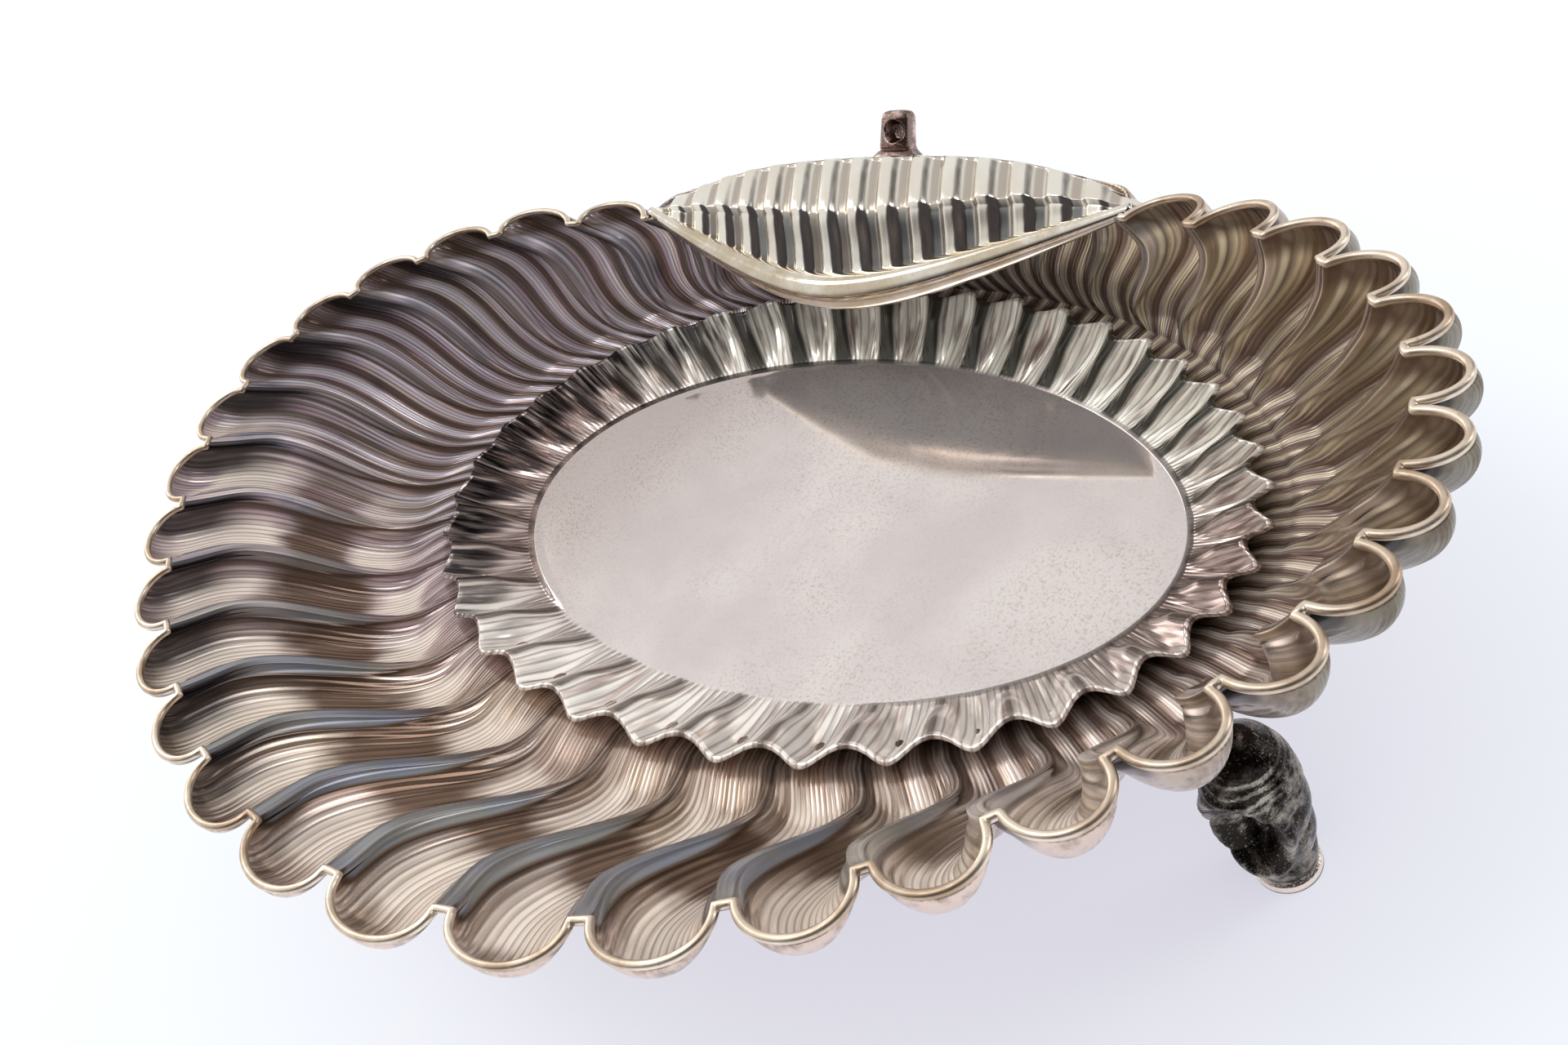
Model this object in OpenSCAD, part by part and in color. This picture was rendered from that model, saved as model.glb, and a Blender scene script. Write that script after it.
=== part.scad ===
// Oval swirl-fluted silver dish on three cast shell feet, with a ribbed hood along its rear edge and a
// small cast scroll handle behind the hood. All sizes are in millimetres, +Z is up, +Y is the hood side.

/* [Well] */
// Half length of the flat oval floor
floor_a = 62.8; // [60:0.1:66]
// Half width of the flat oval floor
floor_b = 33.3; // [31:0.1:36]
// Half length of the tray at its scalloped edge
tray_a = 75.3; // [73:0.1:78]
// Half width of the tray at its scalloped edge
tray_b = 45; // [44:0.1:48]
// Height of the tray's edge above the floor
tray_rise = 7.6; // [6.5:0.1:8.5]
// How far the tray's edge waves in and out
tray_wave = 1.1; // [0.5:0.1:1.4]
// How deep the tray's flutes are
tray_relief = 1.1; // [0.4:0.1:1.2]
// Sheet thickness of the tray
tray_sheet = 0.8; // [0.6:0.1:1]

/* [Bowl] */
// Half length of the rim, measured to the tips of the lobes
rim_a = 108; // [105:0.5:111]
// Half width of the rim, measured to the tips of the lobes
rim_b = 70.1; // [68:0.1:72]
// How far the rim's centre lies in front of the floor's centre
rim_forward = 18.8; // [17:0.1:20]
// How far the ends of the rim sweep backwards
rim_sweep = 3.8; // [2:0.1:5]
// Mean height of the rim above the floor
rim_rise = 35.3; // [32:0.1:38]
// How much higher than the mean the two ends of the rim lie
rim_lift = 2.8; // [1:0.1:4]
// How much higher than the mean the front of the rim lies
rim_tip = 1.7; // [0:0.1:3]
// How far the rim dips beside the hood's two ends
hood_dip = 3.4; // [0:0.1:5]
// How much longer the rim is at its rear than at its front
rim_taper = 4; // [0:0.5:6]
// Number of flutes round the bowl
flutes = 39; // [37:1:41]
// Depth of a flute's channel below its crests
flute_depth = 4; // [3:0.1:4.5]
// Share of a flute that its flat crest takes
crest_share = 0.3; // [0.2:0.01:0.34]
// How far a lobe stands out past the notches beside it
lobe_out = 5.6; // [4:0.1:6.5]
// Sideways sway of a flute between tray and rim, in degrees round the dish
flute_sway = 2; // [0:0.1:3]
// How many degrees the flutes crowd together towards the hood
crowd_rear = 10.4; // [0:0.1:12]
// How many degrees the flutes crowd together towards the right end
crowd_right = 6.7; // [0:0.1:8]
// How unevenly the lobes are spaced along the rim, in degrees
lobe_ripple = 2.7; // [0:0.1:3]
// How many degrees the front lobes are shifted round towards the right
front_shift = 5.2; // [0:0.1:5.4]
// Sheet thickness of the bowl
bowl_sheet = 1; // [0.8:0.1:1.2]
// Radius of the wire along the rim
wire_r = 0.55; // [0.45:0.05:0.8]

/* [Hood] */
// Half length of the hood
hood_half = 48; // [46:0.5:50]
// Distance of the hood's rolled front edge behind the floor's centre
hood_front = 30.4; // [28:0.1:32]
// Height of the rolled front edge above the floor at its middle
hood_front_rise = 19.6; // [18:0.1:22]
// Number of ribs on the hood
hood_ribs = 16; // [14:1:18]
// How far to the left of the middle the rolled edge dips lowest
hood_skew = 5; // [0:0.5:8]
// How far a rib stands out
rib_out = 0.9; // [0.5:0.1:1.2]
// Sheet thickness of the hood
hood_sheet = 0.9; // [0.7:0.1:1.1]
// Radius of the rolled edge at its middle
roll_r = 3; // [2:0.1:3.4]
// Radius of the rolled edge at its ends
roll_end_r = 0.9; // [0.6:0.1:1.2]

/* [Feet] */
// Height of the dish's floor above the table
foot_h = 16.5; // [15.5:0.5:18]
// Distance of the two front feet from the centre line
foot_x = 85; // [84:0.5:86]
// Distance of the two front feet in front of the floor's centre
foot_y = 28; // [27:0.5:29]
// Distance of the rear foot behind the floor's centre
rear_foot_y = 37; // [35:0.5:39]
// Largest radius of a foot
foot_r = 5.8; // [5:0.1:6.2]
// Radius of a foot's flat sole
sole_r = 4.2; // [3.6:0.1:4.6]

/* [Handle] */
// Radius of the handle's curve
handle_r = 11; // [10:0.1:12]
// Radius of the handle's round bar
handle_bar_r = 2.2; // [1.8:0.1:2.6]
// Height of the curve's centre above the floor
handle_rise = 12; // [11.5:0.1:13]
// Length of the cast thumb piece on top of the handle
thumb_h = 7.4; // [6:0.2:9]

/* [Hidden] */
$fn = 40;

silver = [0.78, 0.76, 0.74];
dark_silver = [0.55, 0.53, 0.52];

// The dish is shifted back so that its overall box is centred on the origin.
centre_y = 14.2;
// Angle of the first lobe, and how far the tray's scallops lag behind the rim's lobes.
first_lobe = 276.9;
tray_lag = 1.9;
rim_skew = 2.8;
ripple_phase = 225;
// Where the front lobes are shifted, and over what width.
front_at = 284;
front_width = 27;
// Where the rim dips beside the hood, in degrees from the rear, and over what width.
dip_at = 27;
dip_width = 11;

// Angle of the hood's two ends, and how many degrees the lobes take to fade out beside it.
hood_angle = acos(hood_half / rim_a);
fade_angle = 7;
// Half the width of a channel and of a lobe, as shares of a flute: a short flat notch parts the lobes.
channel_edge = (1 - crest_share) / 2;
lobe_half = 0.43;
// Places across one flute where the sheets have their points: notch, edge of the lobe, and the channel.
STEPS = [-0.5, -lobe_half, -channel_edge * 0.7, 0, channel_edge * 0.7, lobe_half];

// The bowl under the tray, then the shoulder that the tray's edge hangs over.
base_inset = 0.8;
shoulder_out = 2.4;
shoulder_rise = 4.6;
wall_power = 1.15;
// How much steeper the wall is half way up than at its two ends, and how fast that fades out there.
ogee = 0.035;
ogee_fade = 4;
// A channel sinks beside the tray, rises a little, and sinks again: for each step the share of the
// flute depth, the share of the wall where it starts, and the share of the wall that it takes.
DEPTH_STEPS = [[0.62, 0, 0.2], [-0.1, 0.25, 0.25], [0.16, 0.5, 0.33]];
// Where the channels end in a steep lip, and how round it is.
lip_from = 0.88;
lip_power = 2.2;
// Share of the depth that the channels keep along the hood, and the angles over which they fade.
hood_channel = 0.12;
hood_fade_from = 24;
hood_fade = 22;
BOWL_ROWS = [-1, -0.5, 0, 0.12, 0.25, 0.45, 0.65, 0.84, 0.95, 1];
TRAY_ROWS = [0, 0.2, 0.45, 0.75, 1];

// ---------- shared functions ----------

function mix(a, b, f) = a + (b - a) * f;
function clamp(x) = max(0, min(1, x));
function smooth(x) = let (c = clamp(x)) c * c * (3 - 2 * c);
// The angle from b to a, from -180 to 180, and a smooth bump of height 1 round angle b.
function apart(a, b) = (a - b + 900) % 360 - 180;
function bump(a, b, width) = exp(-pow(apart(a, b) / width, 2));
function from_rear(t) = abs(apart(t, 90));
// Signed distance from the middle of the nearest flute, from -0.5 to 0.5.
function across(k) = k - floor(k + 0.5);
// Angle round the dish of flute k, at the tray (0) or at the rim (1).
function turn(k, rim) =
    let (u = first_lobe + 360 * k / flutes)
    u - crowd_right * sin(u) + crowd_rear * cos(u) - tray_lag * (1 - rim)
    + rim * (rim_skew * sin(2 * u) + lobe_ripple * cos(3 * u - ripple_phase)
        + front_shift * bump(u, front_at, front_width));
// 1 on the open rim, 0 along the hood.
function open_rim(t) = smooth((from_rear(t) - (90 - hood_angle) + fade_angle) / fade_angle);

// A point at angle t on an oval that is a by b, y0 behind the floor's centre, swept backwards at its ends.
function oval(a, b, y0, sweep, z, t) =
    [a * cos(t), centre_y + y0 + b * sin(t) + sweep * cos(2 * t), foot_h + z];
function rim_z(t) = rim_rise + rim_lift * cos(2 * t) - rim_tip * sin(t)
    - hood_dip * exp(-pow((from_rear(t) - dip_at) / dip_width, 2));
// The horizontal direction straight out from an oval.
function outward(a, b, t) = let (v = [b * cos(t), a * sin(t), 0]) v / norm(v);

// A closed skin over rings of equal length, from the first ring to the last, each end a flat cap.
module skin(rings) {
    n = len(rings[0]);
    m = len(rings);
    points = [for (r = rings) each r];
    sides = [for (i = [0 : m - 2], j = [0 : n - 1]) each let (
            a = i * n + j, b = i * n + (j + 1) % n, c = a + n, d = b + n)
        [[a, c, b], [b, c, d]]];
    caps = [[for (j = [0 : n - 1]) j], [for (j = [n - 1 : -1 : 0]) (m - 1) * n + j]];
    polyhedron(points, concat(sides, caps), convexity = 12);
}

// The two triangles of a four-sided face.
function quad(a, b, c, d) = [[a, b, c], [a, c, d]];

// A closed slab between two grids of the same size, the upper one first.
module slab(top, bottom) {
    m = len(top);
    n = len(top[0]);
    under = m * n;
    polyhedron(concat([for (r = top) each r], [for (r = bottom) each r]), concat(
        [for (i = [0 : m - 2], j = [0 : n - 2]) let (a = i * n + j) each quad(a, a + n, a + n + 1, a + 1)],
        [for (i = [0 : m - 2], j = [0 : n - 2]) let (a = under + i * n + j)
            each quad(a, a + 1, a + n + 1, a + n)],
        [for (j = [0 : n - 2]) each quad(j, j + 1, under + j + 1, under + j)],
        [for (j = [0 : n - 2]) let (a = (m - 1) * n + j) each quad(a + 1, a, under + a, under + a + 1)],
        [for (i = [0 : m - 2]) let (a = i * n) each quad(a + n, a, under + a, under + a + n)],
        [for (i = [0 : m - 2]) let (a = i * n + n - 1) each quad(a, a + n, under + a + n, under + a)]
    ), convexity = 8);
}

// ---------- bowl ----------

// Share of its height that the wall has reached at s.
function climb(s) = pow(s, wall_power)
    - ogee * sin(360 * s) * smooth(s * ogee_fade) * smooth((1 - s) * ogee_fade);

// The point of the plain wall at height fraction s (below 0 it lies under the tray), before fluting.
function wall_point(s, t, out) = s >= 0
    ? oval(mix(tray_a + shoulder_out, rim_a - lobe_out + out + rim_taper * sin(t), s),
        mix(tray_b + shoulder_out, rim_b - lobe_out + out, s),
        -rim_forward * s, rim_sweep * s,
        shoulder_rise + (rim_z(t) - shoulder_rise) * climb(s), t)
    : oval(mix(tray_a + shoulder_out, floor_a - base_inset, -s),
        mix(tray_b + shoulder_out, floor_b - base_inset, -s),
        0, 0, mix(shoulder_rise, -tray_sheet, smooth(-s * 1.1)), t);

// The direction from the wall's inside to its outside.
function wall_normal(s, t) = let (
        a = wall_point(clamp(s - 0.05), t, 0), b = wall_point(clamp(s + 0.05), t, 0),
        o = outward(rim_a, rim_b, t), run = (b - a) * o, rise = b[2] - a[2],
        v = o * rise - [0, 0, run])
    s < 0 ? [0, 0, -1] : v / norm(v);

// A channel sinks straight out of the wall low down, and more and more downwards towards the rim.
function sink(s, t) = let (v = wall_normal(s, t) - [0, 0, clamp(s)]) v / norm(v);

function channel(k) = max(0, 1 - pow(across(k) / channel_edge, 2));
function lobe(k) = sqrt(max(0, 1 - pow(across(k) / lobe_half, 2)));
// Depth of a channel at s, as a share of the flute depth.
function depth_at(s) = s <= 0 ? 0
    : [for (d = DEPTH_STEPS) d[0] * smooth((s - d[1]) / d[2])] * [1, 1, 1]
        * sqrt(1 - pow(clamp((s - lip_from) / (1 - lip_from)), lip_power));

function bowl_point(s, k, out_skin) = let (
        t = mix(turn(k, 0), turn(k, 1), clamp(s)) + flute_sway * sin(360 * clamp(s)),
        open = open_rim(t),
        out = mix(lobe_out, lobe_out * lobe(k), open),
        hooded = mix(hood_channel, 1, smooth((from_rear(t) - hood_fade_from) / hood_fade)),
        depth = flute_depth * depth_at(s) * channel(k) * hooded)
    wall_point(s, t, out) + sink(s, t) * depth + wall_normal(s, t) * out_skin * bowl_sheet;

COLUMNS = [for (k = [0 : flutes - 1]) each [for (p = STEPS) k + p]];
function bowl_ring(s, out_skin) = [for (k = COLUMNS) bowl_point(s, k, out_skin)];

module outer_bowl() {
    color(silver) skin(concat(
        [for (s = BOWL_ROWS) bowl_ring(s, 0)],
        [for (i = [len(BOWL_ROWS) - 1 : -1 : 0]) bowl_ring(BOWL_ROWS[i], 1)]));
}

// ---------- wire along the rim ----------

// The open rim runs over the flutes whose middles lie outside the hood.
first_open = 23.5;
last_open = flutes + 15.5;
function rim_edge(k) = bowl_point(1, k, 0.5) + [0, 0, wire_r];
RIM_COLUMNS = concat(
    [for (k = [first_open + 0.5 : last_open - 0.5]) each [for (p = STEPS) k + p]], [last_open]);
RIM_PATH = [for (k = RIM_COLUMNS) rim_edge(k)];

// Rings of n points round a path, with one radius for each point.
function tube_rings(path, radii, n) = [for (i = [0 : len(path) - 1]) let (
        a = path[max(0, i - 1)], b = path[min(len(path) - 1, i + 1)],
        along = (b - a) / norm(b - a),
        side = let (v = cross(along, [0, 0, 1])) v / norm(v),
        up = cross(side, along))
    [for (j = [0 : n - 1]) path[i] + radii[i] * (side * cos(360 * j / n) + up * sin(360 * j / n))]];

module rim_wire() {
    color(silver) skin(tube_rings(RIM_PATH, [for (p = RIM_PATH) wire_r], 6));
}

// ---------- tray ----------

// How far the tray's edge lies in front of its floor, how its wall curves up, and which way the sheet's
// underside lies from its top: outwards and down.
tray_forward = 2;
tray_power = 1.3;
TRAY_TILT = [0.8, 0.6];
// How fast the edge's wave and the flutes' depth grow up the tray's wall, which way the flutes sink, and
// how much of their depth they lose towards the edge, and from where.
WAVE_GROWTH = [1.1, 1.4];
SUNK_WAY = [0.5, 0.86];
edge_calm = 0.6;
calm_from = 0.6;

function tray_point(s, k, out_skin) = let (
        t = turn(k, 0), o = outward(tray_a, tray_b, t),
        wave = tray_wave * smooth(s * WAVE_GROWTH[0]),
        calm = 1 - edge_calm * smooth((s - calm_from) / (1 - calm_from)),
        sunk = tray_relief * smooth(s * WAVE_GROWTH[1]) * calm)
    oval(mix(floor_a, tray_a, s), mix(floor_b, tray_b, s), -tray_forward * s, 0,
        tray_rise * pow(s, tray_power), t)
    + cos(360 * k) * (o * wave + sunk * (o * SUNK_WAY[0] - [0, 0, SUNK_WAY[1]]))
    + out_skin * tray_sheet * (s == 0 ? [0, 0, -1] : o * TRAY_TILT[0] - [0, 0, TRAY_TILT[1]]);

TRAY_COLUMNS = [for (i = [0 : flutes * 4 - 1]) i / 4];
function tray_ring(s, out_skin) = [for (k = TRAY_COLUMNS) tray_point(s, k, out_skin)];

module well_tray() {
    color(silver) skin(concat(
        [for (s = TRAY_ROWS) tray_ring(s, 0)],
        [for (i = [len(TRAY_ROWS) - 1 : -1 : 0]) tray_ring(TRAY_ROWS[i], 1)]));
}

// ---------- hood ----------

// How rounded the rolled edge's bend is to the left and to the right of its lowest place.
ROLL_BEND = [0.5, 0.35];
// Where the hood's knee lies between its back and front edges, and how high it stands above them.
shoulder_forward = 0.45;
shoulder_bulge = 3.5;
// The hood's columns stop just short of its pointed ends.
hood_end = 0.985;
// How far into their rise the ribs start at the hood's back edge, and the way that they stand out.
rib_start = 0.12;
RIB_WAY = [0, 0.45, 0.9];
// The hood's sheet meets the roll on the upper part of its rear side.
ROLL_TOUCH = [0, 0.75, 1];

function rear_angle(u) = acos(hood_half * u / rim_a);
// The hood's back edge lies on the plain rear edge of the bowl.
function hood_rear(u) = let (t = rear_angle(u))
    wall_point(1, t, lobe_out) + [0, bowl_sheet, hood_sheet];
// A bend from 0 to 1 that starts level and runs out nearly straight.
function bend(q, c) = (sqrt(q * q + c * c) - c) / (sqrt(1 + c * c) - c);
// The centre of the rolled edge: it dips forwards and down towards the middle.
function roll_centre(u) = let (
        end = wall_point(1, rear_angle(u < 0 ? -1 : 1), lobe_out / 2),
        low = -hood_skew / hood_half,
        f = u < low ? bend((low - u) / (1 + low), ROLL_BEND[0]) : bend((u - low) / (1 - low), ROLL_BEND[1]))
    [hood_half * u, mix(centre_y + hood_front, end[1], f), mix(foot_h + hood_front_rise, end[2], f)];
function roll_radius(u) = mix(roll_r, roll_end_r, pow(abs(u), 1.5));
function hood_front_edge(u) = roll_centre(u) + roll_radius(u) * ROLL_TOUCH;

function hood_point(u, v, under) = let (
        rear = hood_rear(u), front = hood_front_edge(u),
        knee = mix(rear, front, shoulder_forward) + [0, 0, shoulder_bulge * (1 - u * u)],
        p = rear * (1 - v) * (1 - v) + knee * 2 * v * (1 - v) + front * v * v,
        fade = sqrt(max(0, 1 - u * u)) * sin(180 * mix(rib_start, 1, v)),
        rib = rib_out * abs(sin(90 * hood_ribs * (u + 1))) * fade)
    p + RIB_WAY * (under ? -hood_sheet : rib);

HOOD_COLUMNS = [for (i = [0 : hood_ribs * 4]) mix(-hood_end, hood_end, i / (hood_ribs * 4))];
HOOD_ROWS = [0, 0.1, 0.25, 0.4, 0.55, 0.7, 0.85, 1];

module hood_shell() {
    color(silver) slab(
        [for (v = HOOD_ROWS) [for (u = HOOD_COLUMNS) hood_point(u, v, false)]],
        [for (v = HOOD_ROWS) [for (u = HOOD_COLUMNS) hood_point(u, v, true)]]);
}

module hood_rolled_edge() {
    path_u = [for (i = [0 : 32]) i / 16 - 1];
    color(silver) skin(tube_rings(
        [for (u = path_u) roll_centre(u)], [for (u = path_u) roll_radius(u)], 12));
}

// ---------- feet ----------

waist = 0.86;
// Whorls of the foot's shell, from the sole up, as shares of its height and radius: the height of
// each one's middle, its half height and its radius.
WHORLS = [[0.1, 0.08, 0.76], [0.25, 0.08, 0.84], [0.41, 0.1, 0.93]];
body_share = 0.7;
sole_h = 1.4;
// The mouth's hollow, its lip, and how far below the body's middle it lies.
mouth_r = 3.6;
mouth_out = 1.05;
mouth_drop = 1.5;
lip_r = 0.7;
lip_out = 0.66;

// A cast shell standing on its tip, tall enough to reach up to height top.
module cast_foot(top, mouth_turn) {
    body_z = top * body_share;
    difference() {
        union() {
            cylinder(r = sole_r, h = sole_h);
            rotate_extrude() polygon(concat([[0, sole_h / 2]],
                [for (w = WHORLS) each [for (a = [-70 : 20 : 70])
                    [foot_r * w[2] * mix(waist, 1, cos(a)), top * (w[0] + w[1] * sin(a))]]],
                [for (a = [-30 : 10 : 80]) [foot_r * cos(a), body_z + (top - body_z) * sin(a)]],
                [[0, top]]));
        }
        rotate([0, 0, mouth_turn])
            translate([foot_r * mouth_out, 0, body_z - mouth_drop]) sphere(r = mouth_r);
    }
    // The lip of the shell's mouth.
    rotate([0, 0, mouth_turn]) translate([foot_r * lip_out, 0, body_z - mouth_drop]) rotate([0, 90, 0])
        rotate_extrude() translate([mouth_r - lip_r / 2, 0]) circle(r = lip_r);
}

// Heights of the feet, which the swirling flutes make unequal, and the flutes that they stand under.
left_foot_top = 28.3;
right_foot_top = 27.1;
rear_foot_top = 14.6;
left_foot_flute = 31;
right_foot_flute = 5;
rear_foot_flute = 19.7;
// The plates' sheet, and the rows of the wall that each plate covers.
plate_sheet = 1.2;
FRONT_PLATE = [0.12, 0.5];
REAR_PLATE = [-0.9, -0.3];
UPPER_PLATE = [0.52, 0.82];
LOWER_PLATE = [0.02, 0.2];
plate_half = 2 / 3;

// A plate of sheet under the bowl that follows flute k over the given rows of the wall.
module flute_plate(k, span) {
    rows = [for (i = [0 : 3]) mix(span[0], span[1], i / 3)];
    columns = [for (i = [-3 : 3]) k + plate_half * i / 3];
    color(dark_silver) slab(
        [for (s = rows) [for (c = columns) bowl_point(s, c, 1)]],
        [for (s = rows) [for (c = columns) bowl_point(s, c, 1 + plate_sheet / bowl_sheet)]]);
}

// A foot at x, and at y behind the floor's centre.
module place_foot(x, y, top, mouth_turn) {
    color(dark_silver) translate([x, centre_y + y, 0]) cast_foot(top, mouth_turn);
}

module foot_left() place_foot(-foot_x, -foot_y, left_foot_top, 272);
module foot_right() place_foot(foot_x, -foot_y, right_foot_top, 268);
module foot_rear() place_foot(0, rear_foot_y, rear_foot_top, 90);
module foot_left_plate() flute_plate(left_foot_flute, FRONT_PLATE);
module foot_right_plate() flute_plate(right_foot_flute, FRONT_PLATE);
module foot_rear_plate() flute_plate(rear_foot_flute, REAR_PLATE);

// ---------- handle ----------

// The arc's centre, and the angle below the horizon at which its lower end meets the wall.
handle_y = centre_y + 51.6;
handle_start = -100;
handle_flute = 19.7;
// The thumb piece: the volute that it rises from, its flared base, column and cap, as shares of the
// bar's radius, its depth as a share of its width, and its lean.
volute_r = 2.4;
volute_w = 3.6;
thumb_rise = 28.6;
thumb_lean = 38;
thumb_base = 1.85;
thumb_stem = 1.28;
thumb_cap = 0.7;
thumb_flat = 0.66;
base_h = 1.6;
cap_h = 0.9;
// How far the volute sinks into the bar, so that the two touch.
touch = 0.05;

module handle_scroll() {
    color(dark_silver) translate([0, handle_y, foot_h + handle_rise]) rotate([90, 0, 90])
        rotate([0, 0, handle_start]) rotate_extrude(angle = 90 - handle_start)
            translate([handle_r, 0]) circle(r = handle_bar_r);
}

module handle_thumb_scroll() {
    bar_top = foot_h + handle_rise + handle_r + handle_bar_r;
    color(dark_silver) {
        translate([0, handle_y, bar_top + volute_r - touch]) rotate([0, 90, 0])
            cylinder(r = volute_r, h = volute_w, center = true);
        translate([0, handle_y, foot_h + thumb_rise]) rotate([-thumb_lean, 0, 0]) scale([1, thumb_flat, 1]) {
            cylinder(r1 = handle_bar_r * thumb_base, r2 = handle_bar_r * thumb_stem, h = base_h);
            translate([0, 0, base_h]) cylinder(r = handle_bar_r * thumb_stem, h = thumb_h - base_h - cap_h);
            translate([0, 0, thumb_h - cap_h])
                cylinder(r1 = handle_bar_r * thumb_stem, r2 = handle_bar_r * thumb_cap, h = cap_h);
        }
    }
}

module handle_upper_plate() flute_plate(handle_flute, UPPER_PLATE);
module handle_lower_plate() flute_plate(handle_flute, LOWER_PLATE);

outer_bowl();
rim_wire();
well_tray();
hood_shell();
hood_rolled_edge();
foot_left();
foot_left_plate();
foot_right();
foot_right_plate();
foot_rear();
foot_rear_plate();
handle_scroll();
handle_thumb_scroll();
handle_upper_plate();
handle_lower_plate();
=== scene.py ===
"""Looks of a swirl-fluted silver dish on shell feet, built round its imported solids.

The scene is in metres, with +Z up and +Y the hood side.
"""

import math

import bpy
import numpy as np
from mathutils import Matrix, Vector


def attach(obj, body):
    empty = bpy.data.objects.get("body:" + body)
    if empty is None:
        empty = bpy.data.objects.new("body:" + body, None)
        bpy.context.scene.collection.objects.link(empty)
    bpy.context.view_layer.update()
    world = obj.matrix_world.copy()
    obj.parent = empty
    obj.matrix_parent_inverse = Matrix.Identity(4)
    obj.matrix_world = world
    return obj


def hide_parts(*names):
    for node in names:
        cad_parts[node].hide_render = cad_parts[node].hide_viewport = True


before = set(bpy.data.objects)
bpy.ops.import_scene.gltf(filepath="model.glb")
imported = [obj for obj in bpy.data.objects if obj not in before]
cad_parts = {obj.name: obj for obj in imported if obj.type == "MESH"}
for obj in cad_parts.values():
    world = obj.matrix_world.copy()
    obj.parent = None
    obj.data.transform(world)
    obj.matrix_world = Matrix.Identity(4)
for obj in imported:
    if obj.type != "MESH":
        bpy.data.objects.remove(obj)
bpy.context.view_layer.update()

MM = 0.001

# ---------- the dish's driving sizes, in millimetres, the same as the solids' ----------

FLOOR_A, FLOOR_B = 62.8, 33.3
TRAY_A, TRAY_B, TRAY_RISE, TRAY_FORWARD, TRAY_POWER = 75.3, 45.0, 7.6, 2.0, 1.3
TRAY_WAVE, TRAY_RELIEF = 1.1, 1.1
# How fast the tray's flutes sink and swing outwards up its wall, how much of their depth they lose
# towards the edge, and from where.
TRAY_GROWTH, WAVE_GROWTH, EDGE_CALM, CALM_FROM = 1.4, 1.1, 0.6, 0.6
# The ways (outwards, down) that the tray's flutes sink and that the underside of its sheet lies.
SUNK_WAY, TRAY_TILT = (0.5, 0.86), (0.8, 0.6)
RIM_A, RIM_B, RIM_FORWARD, RIM_SWEEP = 108.0, 70.1, 18.8, 3.8
RIM_RISE, RIM_LIFT, RIM_TIP, RIM_TAPER = 35.3, 2.8, 1.7, 4.0
HOOD_DIP, DIP_AT, DIP_WIDTH = 3.4, 27.0, 11.0
FLUTES = 39
FLUTE_DEPTH, LOBE_OUT = 4.0, 5.6
LOBE_HALF = 0.43
FLUTE_SWAY, CROWD_REAR, CROWD_RIGHT = 2.0, 10.4, 6.7
LOBE_RIPPLE, RIPPLE_PHASE = 2.7, 225.0
FRONT_SHIFT, FRONT_AT, FRONT_WIDTH = 5.2, 284.0, 27.0
FIRST_LOBE, TRAY_LAG, RIM_SKEW = 276.9, 1.9, 2.8
BASE_INSET, SHOULDER_OUT, SHOULDER_RISE, WALL_POWER = 0.8, 2.4, 4.6, 1.15
OGEE, OGEE_FADE = 0.035, 4.0
# For each step of a channel's depth along the wall: its share, where it starts and how long it takes.
DEPTH_STEPS = ((0.62, 0.0, 0.2), (-0.10, 0.25, 0.25), (0.16, 0.5, 0.33))
LIP_FROM, LIP_POWER = 0.88, 2.2
# Distance of a channel's folds from its middle, as a share of a flute: beside the tray and higher up,
# the heights between which it changes, and the height from which it opens out again.
FOLD_WIDE, FOLD_NARROW, FOLD_FROM, FOLD_TO, FOLD_OPENS = 0.47, 0.35, 0.15, 0.55, 0.9
# Share of the depth that the channels keep along the hood, and the angles over which they fade.
HOOD_CHANNEL, HOOD_FADE_FROM, HOOD_FADE = 0.12, 24.0, 22.0
BOWL_SHEET, TRAY_SHEET, HOOD_SHEET = 1.0, 0.8, 0.9
WIRE_R = 0.55
HOOD_HALF, HOOD_FRONT, HOOD_FRONT_RISE, HOOD_SKEW = 48.0, 30.4, 19.6, 5.0
HOOD_RIBS, RIB_OUT = 16, 0.9
ROLL_R, ROLL_END_R = 3.0, 0.9
ROLL_BEND = (0.5, 0.35)
FIRST_OPEN, LAST_OPEN = 23.5, FLUTES + 15.5
CENTRE_Y, FOOT_H = 14.2, 16.5
HOOD_ANGLE = math.degrees(math.acos(HOOD_HALF / RIM_A))
FADE_ANGLE = 7.0


# ---------- shared functions of the fluted wall ----------

def mix(a, b, f):
    return a + (b - a) * f


def clamp(x):
    return np.clip(x, 0.0, 1.0)


def smooth(x):
    c = clamp(x)
    return c * c * (3 - 2 * c)


def unit(v):
    return v / np.linalg.norm(v, axis=-1, keepdims=True)


def across(k):
    """Signed distance from the middle of the nearest flute, from -0.5 to 0.5."""
    return k - np.floor(k + 0.5)


def apart(a, b):
    return np.mod(a - b + 900.0, 360.0) - 180.0


def turn(k, rim):
    """Angle round the dish of flute k, at the tray (0) or at the rim (1)."""
    u = FIRST_LOBE + 360.0 * k / FLUTES
    r = np.radians(u)
    at_rim = (RIM_SKEW * np.sin(2 * r) + LOBE_RIPPLE * np.cos(3 * r - math.radians(RIPPLE_PHASE))
              + FRONT_SHIFT * np.exp(-(apart(u, FRONT_AT) / FRONT_WIDTH) ** 2))
    return u - CROWD_RIGHT * np.sin(r) + CROWD_REAR * np.cos(r) - TRAY_LAG * (1 - rim) + rim * at_rim


def from_rear(t):
    return np.abs(apart(t, 90.0))


def open_rim(t):
    """1 on the open rim, 0 along the hood."""
    return smooth((from_rear(t) - (90 - HOOD_ANGLE) + FADE_ANGLE) / FADE_ANGLE)


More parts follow.
